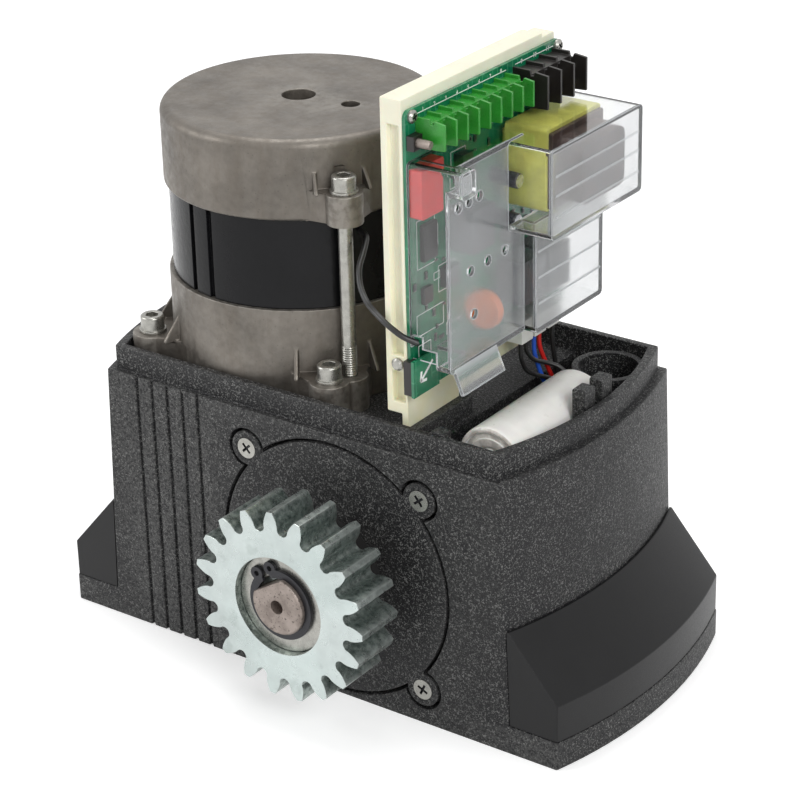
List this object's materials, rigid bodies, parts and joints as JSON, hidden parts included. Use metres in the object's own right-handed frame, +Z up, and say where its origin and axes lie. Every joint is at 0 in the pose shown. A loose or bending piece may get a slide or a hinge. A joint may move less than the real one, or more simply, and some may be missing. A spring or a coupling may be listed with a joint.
{
  "type": "sliding gate motor",
  "caption": "Sliding gate drive: cast housing with worm gearbox and rack pinion, upright induction motor, control board under a clear cover.",
  "frame": {"origin": "middle of the anchor bolt pattern, on the underside of the base", "axes": "+Z up, the rack pinion on the -Y side, +X towards the control board"},
  "size_m": [0.273, 0.1664, 0.2645],
  "materials": {
    "powder_black": "textured black powder coat with fine silver speckle",
    "satin_black": "satin black moulded plastic",
    "zinc_steel": "bright zinc plate",
    "shaft_steel": "turned steel",
    "spring_black": "blackened spring steel",
    "bronze": "worm wheel bronze",
    "bearing_steel": "ground bearing steel",
    "raw_alloy": "raw die-cast aluminium",
    "sleeve_black": "gloss black lacquer",
    "core_steel": "laminated electrical steel",
    "copper": "enamelled copper",
    "seal_rubber": "black rubber",
    "tray_ivory": "ivory moulded plastic",
    "board_green": "green solder mask",
    "terminal_green": "green moulded plastic",
    "terminal_black": "black moulded plastic",
    "film_red": "red box capacitor",
    "tape_yellow": "yellow winding tape",
    "bobbin_dark": "dark bobbin and lacquered winding",
    "can_dark": "dark sleeved cans",
    "relay_dark": "relay cases",
    "disc_orange": "orange dipped disc",
    "cover_clear": "clear moulded polycarbonate",
    "connector_white": "white nylon",
    "wire_black": "black insulation",
    "wire_blue": "blue insulation",
    "wire_red": "red insulation",
    "capacitor_white": "off-white moulded can"
  },
  "bodies": {
    "frame": {"housing": "powder_black", "gearbox_cover": "powder_black", "cover_screws": "zinc_steel", "shaft_seal": "seal_rubber", "drive_bearing_outers": "bearing_steel", "rotor_bearing_outers": "bearing_steel", "motor_lower_bell": "raw_alloy", "stator_core": "sleeve_black", "stator_windings": "copper", "motor_upper_cap": "raw_alloy", "tie_bolts": "zinc_steel", "flange_bolts": "zinc_steel", "foot_cover_left": "satin_black", "foot_cover_right": "satin_black", "controller_tray": "tray_ivory", "circuit_board": "board_green", "board_screws": "zinc_steel", "signal_terminals": "terminal_green", "mains_terminals": "terminal_black", "terminal_screws": "zinc_steel", "learn_button_case": "terminal_black", "film_capacitor": "film_red", "transformer_coil": "tape_yellow", "transformer_core": "bobbin_dark", "filter_capacitors": "can_dark", "relays": "relay_dark", "varistor_disc": "disc_orange", "board_chips": "terminal_black", "receiver_board": "board_green", "header_strip": "terminal_black", "board_cover": "cover_clear", "wire_connectors": "connector_white", "black_leads": "wire_black", "blue_lead": "wire_blue", "red_lead": "wire_red", "motor_lead": "wire_black", "run_capacitor": "capacitor_white"},
    "drive": {"output_shaft": "shaft_steel", "output_gear": "zinc_steel", "gear_washer": "zinc_steel", "retaining_ring": "spring_black", "worm_wheel": "bronze", "wheel_key": "shaft_steel", "wheel_spacer": "shaft_steel", "drive_bearing_inners": "bearing_steel"},
    "rotor": {"worm_shaft": "shaft_steel", "rotor_core": "core_steel", "rotor_bearing_inners": "bearing_steel"},
    "release": {"release_spindle": "zinc_steel"},
    "button": {"learn_button": "shaft_steel"}
  },
  "joints": [
    {"name": "rotor_spin", "type": "hinge", "parent": "frame", "child": "rotor", "pos_m": [-0.0407, 0, 0.14], "axis": [0, 0, 1], "continuous": true},
    {"name": "output_spin", "type": "hinge", "parent": "frame", "child": "drive", "pos_m": [0.018, 0, 0.059], "axis": [0, 1, 0], "continuous": true},
    {"name": "release_turn", "type": "hinge", "parent": "frame", "child": "release", "pos_m": [0.018, 0.06, 0.059], "axis": [0, 1, 0], "range_deg": [0, 90]},
    {"name": "learn_button_press", "type": "slide", "parent": "frame", "child": "button", "axis": [-1, 0, 0], "range_m": [0, 0.0003], "stiffness_N_per_m": 300}
  ],
  "couplings": [
    {"joint": "output_spin", "follows": "rotor_spin", "ratio": -0.025}
  ]
}
